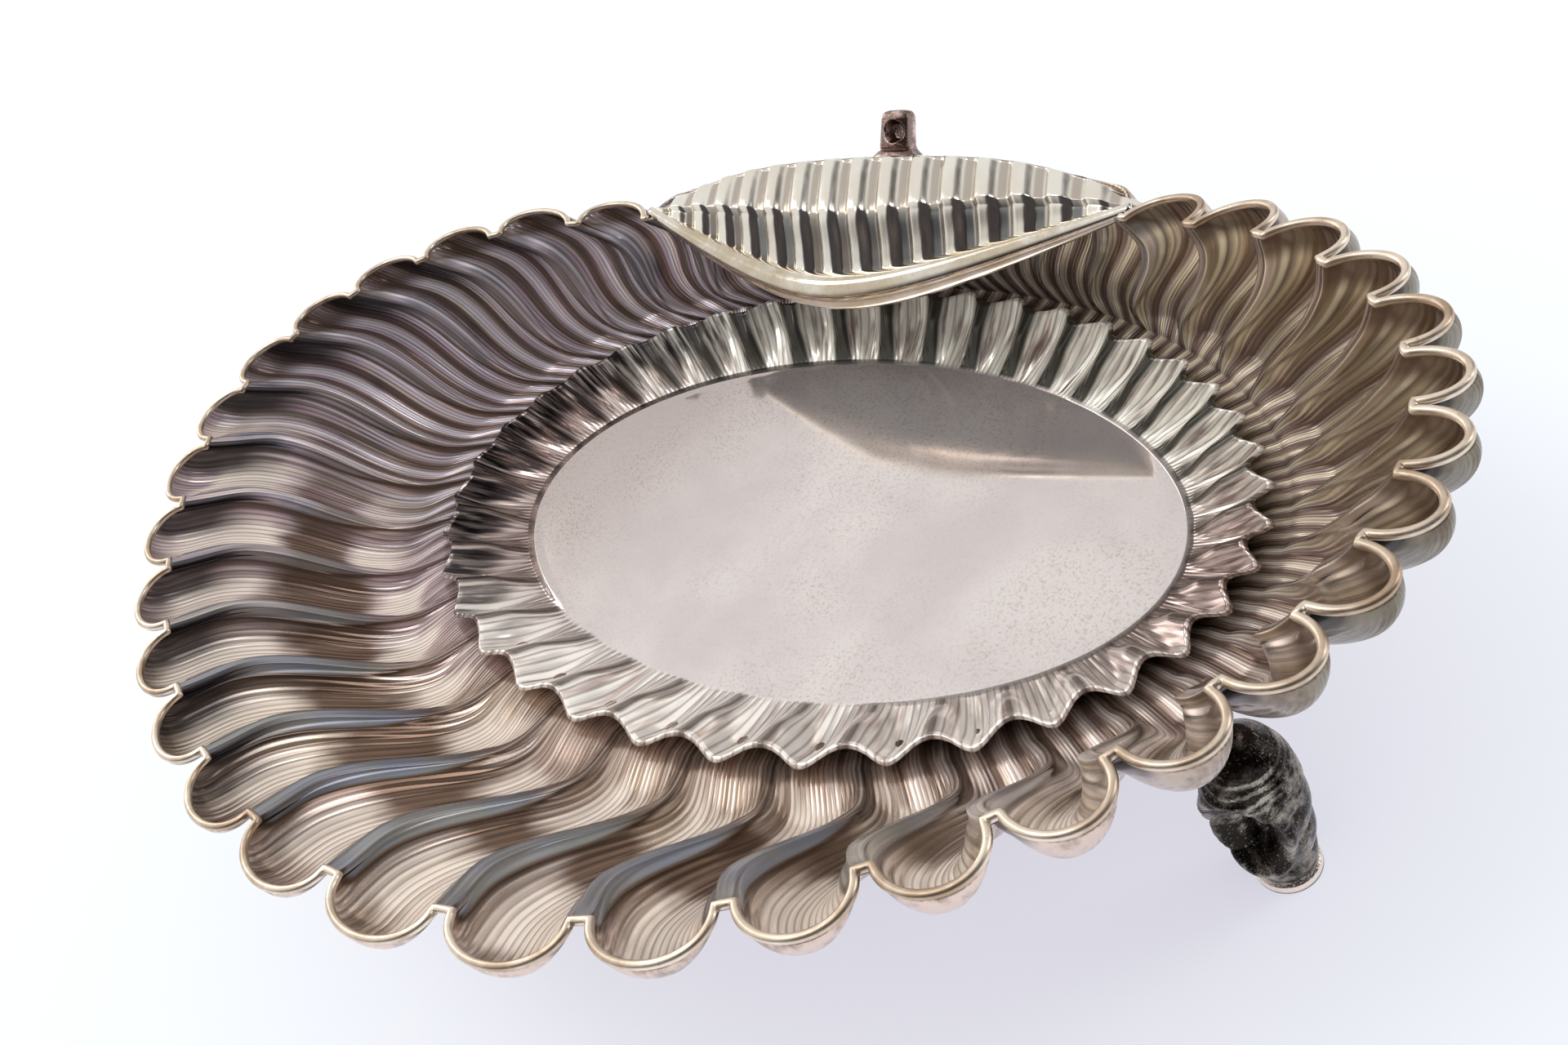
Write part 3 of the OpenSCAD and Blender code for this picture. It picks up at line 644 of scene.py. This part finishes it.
def chased_silver():
    """The bowl's metal: chased lines, tarnish that changes round the dish, and a plain outside."""
    lines_per_flute, reeds_per_flute, line_depth = 19.0, 3.0, 0.08
    n = Nodes("chased_silver")
    k, s = n.flow()
    where = n.object_point()
    x, y, _ = n.split(where)
    y = n.minus(y, CENTRE_Y * MM)
    p = n.minus(k, n.math("FLOOR", n.plus(k, 0.5)))
    from_middle = n.math("ABSOLUTE", p)
    outside = n.ramp(s, -1.5, -2.5)
    rear_left = region(n, x, y, (-0.75, 0.65), -15.0, 55.0)
    right = region(n, x, y, (0.95, 0.3), 20.0, 80.0)
    right_rear = region(n, x, y, (0.55, 0.84), 25.0, 60.0)
    far_right = region(n, x, y, (0.95, 0.3), 62.0, 95.0)
    front = region(n, x, y, (-0.15, -0.99), 22.0, 50.0)
    # The fold along each side of a channel: it closes in up the wall and opens again under the rim.
    edge = n.plus(n.ramp(s, FOLD_FROM, FOLD_TO, FOLD_WIDE, FOLD_NARROW),
                  n.ramp(s, FOLD_OPENS, 1.0, 0.0, LOBE_HALF - FOLD_NARROW))
    past_fold = n.minus(from_middle, edge)
    crest = n.ramp(past_fold, -0.005, 0.02)
    fold = n.ramp(n.math("ABSOLUTE", past_fold), 0.035, 0.005)
    in_channel = opposite(n, crest)
    # Engraved lines follow the flute: an even comb, broken up by long streaks, over a few soft reeds.
    comb = n.math("SINE", n.times(k, 2 * math.pi * lines_per_flute))
    streaks = n.noise(n.point(n.times(k, lines_per_flute * 0.8), n.times(s, 0.9)), 1.0, 3.0, 0.6)
    reeds = n.math("SINE", n.plus(n.times(k, 2 * math.pi * reeds_per_flute), n.times(s, 1.5)))
    reeds = n.times(reeds, opposite(n, n.times(front, 0.9)))
    chasing = n.times(n.plus(n.times(comb, 0.5), streaks), in_channel)
    n.bump(n.plus(chasing, n.times(reeds, 5.0)), 0.7, line_depth * MM)
    # Tarnish: mauve at the rear left, olive gold at the right, beige in front, with clouds of blue and gold.
    clouds = n.noise(where, 30.0, 2.0)
    drift = n.noise(where, 75.0, 3.0)
    colour = n.blend(rear_left, BEIGE, MAUVE)
    colour = n.blend(right, colour, GOLD)
    colour = n.blend(n.times(n.ramp(clouds, 0.5, 0.7), 0.6), colour, GOLD)
    colour = n.blend(n.times(n.ramp(drift, 0.52, 0.68), rear_left), colour, BLUE)
    # A painted pink reflection lies beside the tray, except in front.
    by_tray = n.times(window(n, s, -0.5, 0.0, 0.18, 0.42), opposite(n, front))
    colour = n.blend(n.times(by_tray, 0.8), colour, PINK)
    colour = n.blend(n.ramp(streaks, 0.46, 0.62, 0.0, 0.8), colour, SILVER)
    # Painted highlights on the reeds' crests, lavender at the rear left and straw at the right rear, and
    # painted shade in umber and brown between them.
    pale = n.blend(rear_left, SILVER, LAVENDER)
    pale = n.blend(right_rear, pale, STRAW)
    colour = n.blend(n.ramp(reeds, 0.2, 0.9, 0.0, 0.85), colour, pale)
    colour = n.blend(n.ramp(reeds, -0.1, -0.8, 0.0, 0.85), colour, n.blend(rear_left, UMBER, BROWN))
    # In front the chased lines get painted highlights, pale beside the tray and again below the rim, and
    # painted brown shade between.
    uneven = n.noise(n.point(n.times(k, 1.7), n.times(s, 2.0)), 1.0, 3.0)
    soft_s = n.plus(s, n.ramp(uneven, 0.3, 0.7, -0.07, 0.07))
    low = window(n, soft_s, 0.11, 0.20, 0.28, 0.40)
    high = window(n, soft_s, 0.56, 0.70, 0.88, 0.99)
    lit = n.times(n.math("MAXIMUM", low, high), front, in_channel, n.ramp(p, -0.34, -0.16))
    between = n.times(window(n, soft_s, 0.30, 0.42, 0.54, 0.68), front, 0.95)
    colour = n.blend(between, colour, UMBER)
    colour = n.blend(n.times(lit, 0.82), colour, CREAM)
    dull = n.minus(0.7, n.times(lit, 0.45))
    colour = n.blend(n.times(n.ramp(streaks, 0.47, 0.33), dull), colour, UMBER)
    colour = n.blend(n.ramp(comb, -0.2, -0.9, 0.0, 0.45), colour, BROWN)
    # Painted brown shade just under the rim, except in front.
    under_rim = n.times(window(n, s, 0.84, 0.94, 0.99, 1.01), opposite(n, front))
    colour = n.blend(n.times(under_rim, 0.85), colour, BROWN)
    # The crests are plain grey in front and on the left, and painted brown shade lies along the folds, deeper
    # on one side of each.
    plain = n.times(crest, n.ramp(s, 0.25, 0.5), opposite(n, right), opposite(n, n.times(rear_left, 0.62)))
    colour = n.blend(n.times(plain, 0.85), colour, n.blend(n.ramp(drift, 0.4, 0.6), STEEL, BLUE))
    colour = n.blend(n.times(fold, n.ramp(p, -0.1, 0.1, 0.9, 0.6)), colour, BROWN)
    # The left lobes carry painted black shade next to the rim, on the side towards the hood.
    tip = n.times(n.ramp(s, 0.66, 0.86), n.ramp(p, -0.02, -0.22), region(n, x, y, (-0.98, 0.15), -10.0, 40.0))
    colour = n.blend(n.times(tip, 0.92), colour, BLACK)
    colour = n.blend(n.times(far_right, 0.3), colour, UMBER)
    # Outside, the bowl has a painted pale highlight along the front lobes, and painted shade towards the
    # right and in the notches between the lobes.
    shell = n.blend(far_right, SHELL_LIT, SHELL_SHADED)
    shell = n.blend(n.ramp(n.noise(where, 320.0, 4.0), 0.55, 0.33, 0.0, 0.55), shell, BROWN)
    shell = n.blend(n.ramp(from_middle, 0.30, 0.42), shell, BLACK)
    colour = n.blend(outside, colour, shell)
    # The satin of the chased parts scatters light, and the rest mirrors it.
    satin = n.plus(n.times(lit, 0.38), n.times(plain, 0.28))
    satin = n.plus(satin, n.times(right_rear, 0.12))
    satin = n.plus(satin, n.times(n.math("MAXIMUM", right, rear_left), 0.30))
    return n.finish(colour, n.ramp(streaks, 0.3, 0.7, 0.18, 0.28), n.minus(0.86, satin))


def tray_silver():
    """The tray's metal: a polished floor with brown specks, and a fluted wall that is palest in front."""
    lines_per_flute, line_depth = 9.0, 0.05
    n = Nodes("tray_silver")
    k, s = n.flow()
    where = n.object_point()
    x, y, _ = n.split(where)
    y = n.minus(y, CENTRE_Y * MM)
    p = n.math("ABSOLUTE", n.minus(k, n.math("ROUND", k)))
    wall = n.ramp(s, 0.0, 0.10)
    lines = n.math("SINE", n.times(k, 2 * math.pi * lines_per_flute))
    streaks = n.noise(n.point(n.times(k, 8.0), n.times(s, 1.2)), 1.0, 3.0)
    fine = n.times(n.plus(n.times(lines, 0.4), streaks), n.times(wall, line_depth * MM))
    # The floor is not quite flat towards its two ends, which its mirror images show.
    left_from, left_curve, right_from = 4.0 * MM, 2.3, 22.0 * MM
    past_left = n.math("MAXIMUM", n.plus(n.times(x, -0.84), n.times(y, 0.55)), left_from)
    past_right = n.math("MAXIMUM", x, right_from)
    sag = n.times(n.math("POWER", n.minus(past_left, left_from), 2.0), left_curve)
    sag = n.minus(sag, n.math("POWER", n.minus(past_right, right_from), 2.0))
    sag = n.times(sag, opposite(n, wall))
    n.bump(n.plus(fine, sag), 1.0, 1.0)
    specks = n.ramp(n.noise(where, 2200.0, 3.0, 0.7), 0.50, 0.64)
    haze = n.noise(where, 45.0, 3.0)
    spots = n.times(specks, n.ramp(n.noise(where, 38.0, 2.0), 0.4, 0.62, 0.25, 0.8))
    floor = n.blend(n.ramp(haze, 0.3, 0.7), FLOOR_LOW, FLOOR_HIGH)
    left = region(n, x, y, (-0.9, 0.3), 5.0, 55.0)
    floor = n.blend(n.times(left, 0.8), floor, FLOOR_LEFT)
    floor = n.blend(n.times(spots, n.plus(0.5, n.times(left, 0.4))), floor, FLOOR_SPOT)
    front = region(n, x, y, (0.1, -0.99), 12.0, 36.0)
    rear = region(n, x, y, (0.1, 0.99), 5.0, 30.0)
    worn = n.blend(front, TRAY_SIDE, TRAY_FRONT)
    worn = n.blend(rear, worn, TRAY_REAR)
    worn = n.blend(n.ramp(streaks, 0.55, 0.30), worn, n.blend(front, TRAY_STREAK, FRONT_STREAK))
    worn = n.blend(n.ramp(lines, -0.4, -0.9, 0.0, 0.45), worn, BROWN)
    worn = n.blend(n.ramp(p, 0.36, 0.5, 0.0, 0.8), worn, BROWN)
    # In the rear each flute has a bar of painted dark shade, and the left edge is black in streaks.
    bars = window(n, n.minus(k, n.math("FLOOR", k)), 0.30, 0.42, 0.72, 0.86)
    worn = n.blend(n.times(rear, bars), worn, TRAY_SHADE_BAR)
    rim_side = n.times(region(n, x, y, (-0.98, 0.2), 20.0, 60.0), n.ramp(s, 0.35, 0.75))
    worn = n.blend(n.times(rim_side, n.ramp(streaks, 0.62, 0.42)), worn, BLACK)
    colour = n.blend(wall, floor, worn)
    rough = n.plus(n.times(wall, 0.08), n.ramp(haze, 0.3, 0.7, 0.06, 0.12))
    satin = n.times(n.plus(n.times(rear, 0.55), n.times(front, 0.35)), wall)
    return n.finish(colour, rough, n.minus(n.ramp(wall, 0.0, 1.0, 0.72, 0.90), satin))


def edge_silver():
    """The roll along the hood is worn bright, and the wire along the rim is warmer and duller."""
    n = Nodes("edge_silver")
    along = n.flow()[1]
    where = n.object_point()
    # The roll's flow ends at 10, and the wire's starts at the flute where the open rim starts.
    wire = n.ramp(along, 12.0, 20.0)
    clouds = n.noise(where, 90.0, 4.0, 0.65)
    fine = n.noise(where, 1080.0, 3.0, 0.6)
    light = n.blend(wire, (0.92, 0.87, 0.79), (0.95, 0.82, 0.68))
    dark = n.blend(wire, (0.66, 0.56, 0.42), (0.50, 0.36, 0.25))
    colour = n.blend(n.ramp(clouds, 0.32, 0.68), dark, light)
    colour = n.blend(n.ramp(fine, 0.6, 0.8, 0.0, 0.35), colour, BROWN)
    rough = n.plus(n.ramp(fine, 0.3, 0.7, 0.08, 0.18), n.times(wire, 0.26))
    return n.finish(colour, rough)


def cast_silver():
    """Clouds of black tarnish with painted gold glints; the thumb piece is pinker, and the soles' edges carry
    a painted pale highlight.
    """
    n = Nodes("cast_silver")
    where = n.object_point()
    z = n.split(where)[2]
    thumb = n.ramp(z, 40.0 * MM, 44.0 * MM)
    clouds = n.noise(where, 260.0, 4.0, 0.65)
    grit = n.noise(where, 3000.0, 2.0, 0.6)
    dark = n.blend(thumb, (0.022, 0.018, 0.016), (0.24, 0.16, 0.14))
    light = n.blend(thumb, (0.40, 0.36, 0.31), (0.80, 0.60, 0.55))
    colour = n.blend(n.ramp(clouds, 0.45, 0.68), dark, light)
    # Painted glints: gold specks over the grit.
    colour = n.blend(n.ramp(grit, 0.60, 0.72, 0.0, 0.5), colour, GOLD)
    # A painted highlight: a pale band round the edge of each sole.
    colour = n.blend(window(n, z, 0.1 * MM, 0.4 * MM, 1.1 * MM, 1.7 * MM), colour, CREAM)
    n.bump(grit, 0.6, 0.16 * MM)
    return n.finish(colour, n.ramp(grit, 0.3, 0.7, 0.16, 0.32))


def hood_silver():
    """Pale ribs, with painted shade in the grooves: beige towards the rear and dark below the hood's crease.
    """
    n = Nodes("hood_silver")
    k, v = n.flow()
    where = n.object_point()
    p = n.math("ABSOLUTE", n.minus(k, n.math("ROUND", k)))
    # Painted shade in the grooves: beige towards the rear, dark below the crease.
    groove = n.ramp(p, 0.30, 0.42)
    clouds = n.noise(where, 70.0, 3.0)
    rib = n.blend(n.ramp(clouds, 0.35, 0.65), (0.92, 0.85, 0.75), (1.0, 0.96, 0.87))
    dark = n.blend(n.ramp(clouds, 0.45, 0.6), (0.12, 0.13, 0.14), (0.16, 0.11, 0.08))
    dark = n.blend(n.ramp(v, 0.60, 0.66), (0.50, 0.43, 0.37), dark)
    colour = n.blend(n.times(groove, 0.85), rib, dark)
    fine = n.noise(n.point(n.times(k, 6.0), n.times(v, 3.0)), 1.0, 4.0)
    n.bump(fine, 0.25, 0.15 * MM)
    return n.finish(colour, n.ramp(fine, 0.3, 0.7, 0.14, 0.24))


# ---------- build ----------

chased = chased_silver()
edge = edge_silver()
tray_mat = tray_silver()
hood_mat = hood_silver()
cast = cast_silver()

# For each plate: the flute and the height of the wall that it lies on, and half its size along each.
PLATES = [
    ("foot_left_plate", "foot_left_patch", (31.0, 0.31, 0.66, 0.2)),
    ("foot_right_plate", "foot_right_patch", (5.0, 0.31, 0.66, 0.2)),
    ("foot_rear_plate", "foot_rear_patch", (19.7, -0.6, 0.66, 0.3)),
    ("handle_upper_plate", "handle_upper_patch", (19.7, 0.67, 0.66, 0.15)),
    ("handle_lower_plate", "handle_lower_patch", (19.7, 0.11, 0.66, 0.09)),
]
# For each foot: where it stands, how tall it is, and the angle that its mouth faces.
FEET = [
    ("foot_left", "foot_left_shell", (-FOOT_X, -FOOT_Y, LEFT_FOOT_TOP, 266.0)),
    ("foot_right", "foot_right_shell", (FOOT_X, -FOOT_Y, RIGHT_FOOT_TOP, 274.0)),
    ("foot_rear", "foot_rear_shell", (0.0, REAR_FOOT_Y, REAR_FOOT_TOP, 90.0)),
]
PIECES = [
    (build_bowl(), "outer_bowl", "chased_silver", chased),
    (build_wire(), "rim_wire", "edge_silver", edge),
    (build_tray(), "well_tray", "tray_silver", tray_mat),
    (build_hood(), "hood_shell", "hood_silver", hood_mat),
    (build_roll(), "hood_rolled_edge", "edge_silver", edge),
]
PIECES += [(build_foot(name, *sizes), node, "cast_silver", cast) for node, name, sizes in FEET]
PIECES += [(build_plate(name, *sizes), node, "cast_silver", cast) for node, name, sizes in PLATES]
PIECES += [
    (build_handle(), "handle_scroll", "cast_silver", cast),
    (build_thumb(), "handle_thumb_scroll", "cast_silver", cast),
]
for piece, node, slot, material in PIECES:
    piece.data.materials.append(material)
    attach(piece, "root")
    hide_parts(node)


# ---------- stage, lights and camera ----------

def table_material():
    """The studio table: pale, with a glow of its own, so that shadows on it stay soft."""
    table, glow, grain_depth = (0.36, 0.40, 0.36), (0.50, 0.48, 0.58), 0.985
    n = Nodes("floor_pale")
    grain = n.noise(n.object_point(), 6.0, 2.0)
    n.bsdf.inputs["Emission Color"].default_value = (*glow, 1.0)
    n.bsdf.inputs["Emission Strength"].default_value = 1.0
    return n.finish(n.blend(grain, table, tuple(c * grain_depth for c in table)), 0.8, 0.0)


def add_floor():
    half = 1.6
    corners = [(-half, -half, 0), (half, -half, 0), (half, half, 0), (-half, half, 0)]
    mesh = bpy.data.meshes.new("floor")
    mesh.from_pydata(corners, [], [(0, 1, 2, 3)])
    obj = bpy.data.objects.new("floor", mesh)
    bpy.context.scene.collection.objects.link(obj)
    obj.data.materials.append(table_material())
    return obj


floor = add_floor()


def area(name, direction, distance, size, watts, colour):
    """An area light that faces the dish."""
    light = bpy.data.lights.new(name, "AREA")
    light.shape = "RECTANGLE"
    light.size, light.size_y = size
    light.energy = watts
    light.color = colour
    obj = bpy.data.objects.new(name, light)
    target = Vector((0, 0, 0.03))
    place = Vector(direction).normalized() * distance
    obj.location = target + place
    obj.rotation_euler = place.to_track_quat("Z", "Y").to_euler()
    bpy.context.scene.collection.objects.link(obj)


area("top", (-0.25, -0.2, 1.0), distance=1.1, size=(0.45, 0.45), watts=2.0, colour=(0.96, 0.98, 1.0))
area("left", (-0.95, 0.1, 0.55), distance=1.0, size=(0.3, 0.7), watts=1.5, colour=(1.0, 0.98, 0.95))
area("right", (0.8, 0.75, 0.5), distance=1.0, size=(0.3, 0.6), watts=2.0, colour=(0.95, 0.97, 1.0))

# What the polished silver mirrors is a room that is pale one way and dark the other. What lights the rest
# is an even, pale room.
BRIGHT_WAY = Vector((-0.72, 0.25, 0.64)).normalized()
BRIGHT_FROM, BRIGHT_TO = 0.15, 0.62
BRIGHT, DARK, FILL = (0.78, 0.78, 0.77), (0.04, 0.035, 0.04), (1.12, 1.14, 1.13)


def add_world():
    world = bpy.data.worlds.new("studio")
    bpy.context.scene.world = world
    world.use_nodes = True
    tree = world.node_tree
    coord = tree.nodes.new("ShaderNodeTexCoord")
    dot = tree.nodes.new("ShaderNodeVectorMath")
    dot.operation = "DOT_PRODUCT"
    dot.inputs[1].default_value = BRIGHT_WAY
    ramp = tree.nodes.new("ShaderNodeMapRange")
    ramp.interpolation_type = "SMOOTHSTEP"
    ramp.inputs["From Min"].default_value = BRIGHT_FROM
    ramp.inputs["From Max"].default_value = BRIGHT_TO
    room = tree.nodes.new("ShaderNodeMix")
    room.data_type = "RGBA"
    room.inputs[6].default_value = (*DARK, 1.0)
    room.inputs[7].default_value = (*BRIGHT, 1.0)
    tree.links.new(coord.outputs["Generated"], dot.inputs[0])
    tree.links.new(dot.outputs["Value"], ramp.inputs["Value"])
    tree.links.new(ramp.outputs[0], room.inputs[0])
    path = tree.nodes.new("ShaderNodeLightPath")
    seen = tree.nodes.new("ShaderNodeMix")
    seen.data_type = "RGBA"
    seen.inputs[6].default_value = (*FILL, 1.0)
    tree.links.new(path.outputs["Is Glossy Ray"], seen.inputs[0])
    tree.links.new(room.outputs[2], seen.inputs[7])
    tree.links.new(seen.outputs[2], tree.nodes["Background"].inputs[0])


# The way from the dish to the camera and the camera's roll, in degrees, and its place in metres.
AZIMUTH, ELEVATION, ROLL = 57.0, 38.5, 34.1
CAMERA_PLACE = Vector((0.15809, CENTRE_Y * MM - 0.10829, FOOT_H * MM + 0.15466))
LENS, SENSOR = 35.7, 36.0


def add_camera():
    az, el, roll = (math.radians(a) for a in (AZIMUTH, ELEVATION, ROLL))
    back = Vector((math.sin(az) * math.cos(el), -math.cos(az) * math.cos(el), math.sin(el)))
    level_right = Vector((math.cos(az), math.sin(az), 0))
    level_up = back.cross(level_right)
    right = level_right * math.cos(roll) - level_up * math.sin(roll)
    up = level_right * math.sin(roll) + level_up * math.cos(roll)
    data = bpy.data.cameras.new("camera")
    data.lens = LENS
    data.sensor_width = SENSOR
    camera = bpy.data.objects.new("camera", data)
    camera.matrix_world = Matrix((*zip(right, up, back, CAMERA_PLACE), (0, 0, 0, 1)))
    bpy.context.scene.collection.objects.link(camera)
    bpy.context.scene.camera = camera


add_world()
add_camera()
bpy.context.scene.view_settings.view_transform = "Standard"
